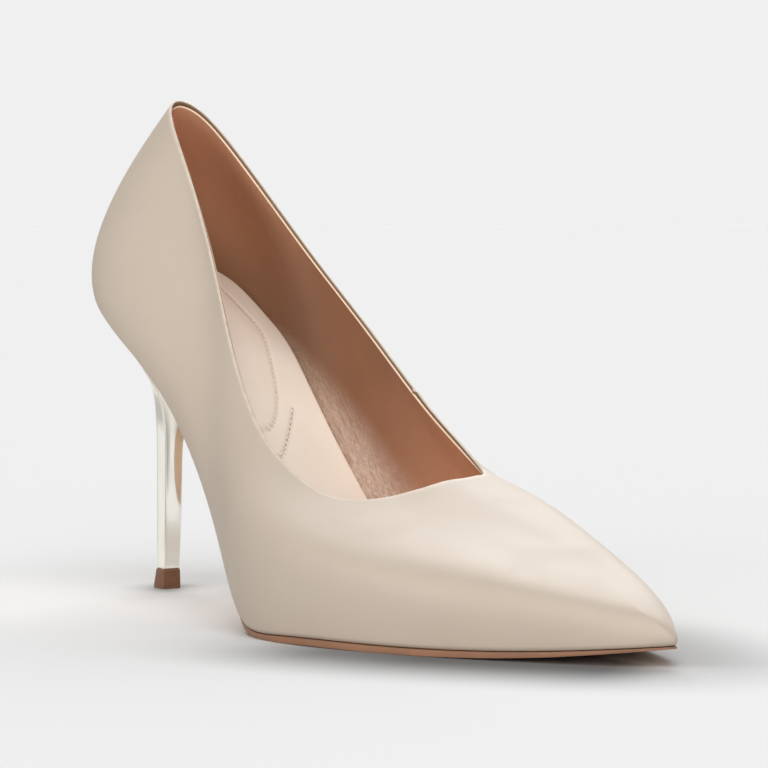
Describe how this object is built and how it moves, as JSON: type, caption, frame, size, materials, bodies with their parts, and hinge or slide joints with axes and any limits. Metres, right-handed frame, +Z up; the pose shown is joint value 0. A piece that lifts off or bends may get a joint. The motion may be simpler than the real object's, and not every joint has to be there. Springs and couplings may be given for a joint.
{
  "type": "stiletto pump",
  "caption": "Pointed-toe stiletto pump in smooth beige leather with a slim plated heel and a thin tan sole, right shoe.",
  "frame": {"origin": "on the ground at the centre of the bounding box", "axes": "+X from heel to toe, +Y towards the inner side of the foot, +Z up"},
  "size_m": [0.2272, 0.0824, 0.1389],
  "materials": {
    "upper_leather": "smooth satin beige leather, tan lining",
    "insole_leather": "matt pinkish beige leather",
    "outsole_tan": "tan sole with a smooth edge",
    "heel_plate": "mirror plated, pale gold",
    "top_piece_brown": "satin dark brown"
  },
  "bodies": {
    "root": {"upper": "upper_leather", "insole": "insole_leather", "outsole": "outsole_tan", "heel": "heel_plate", "top_piece": "top_piece_brown"}
  },
  "joints": []
}
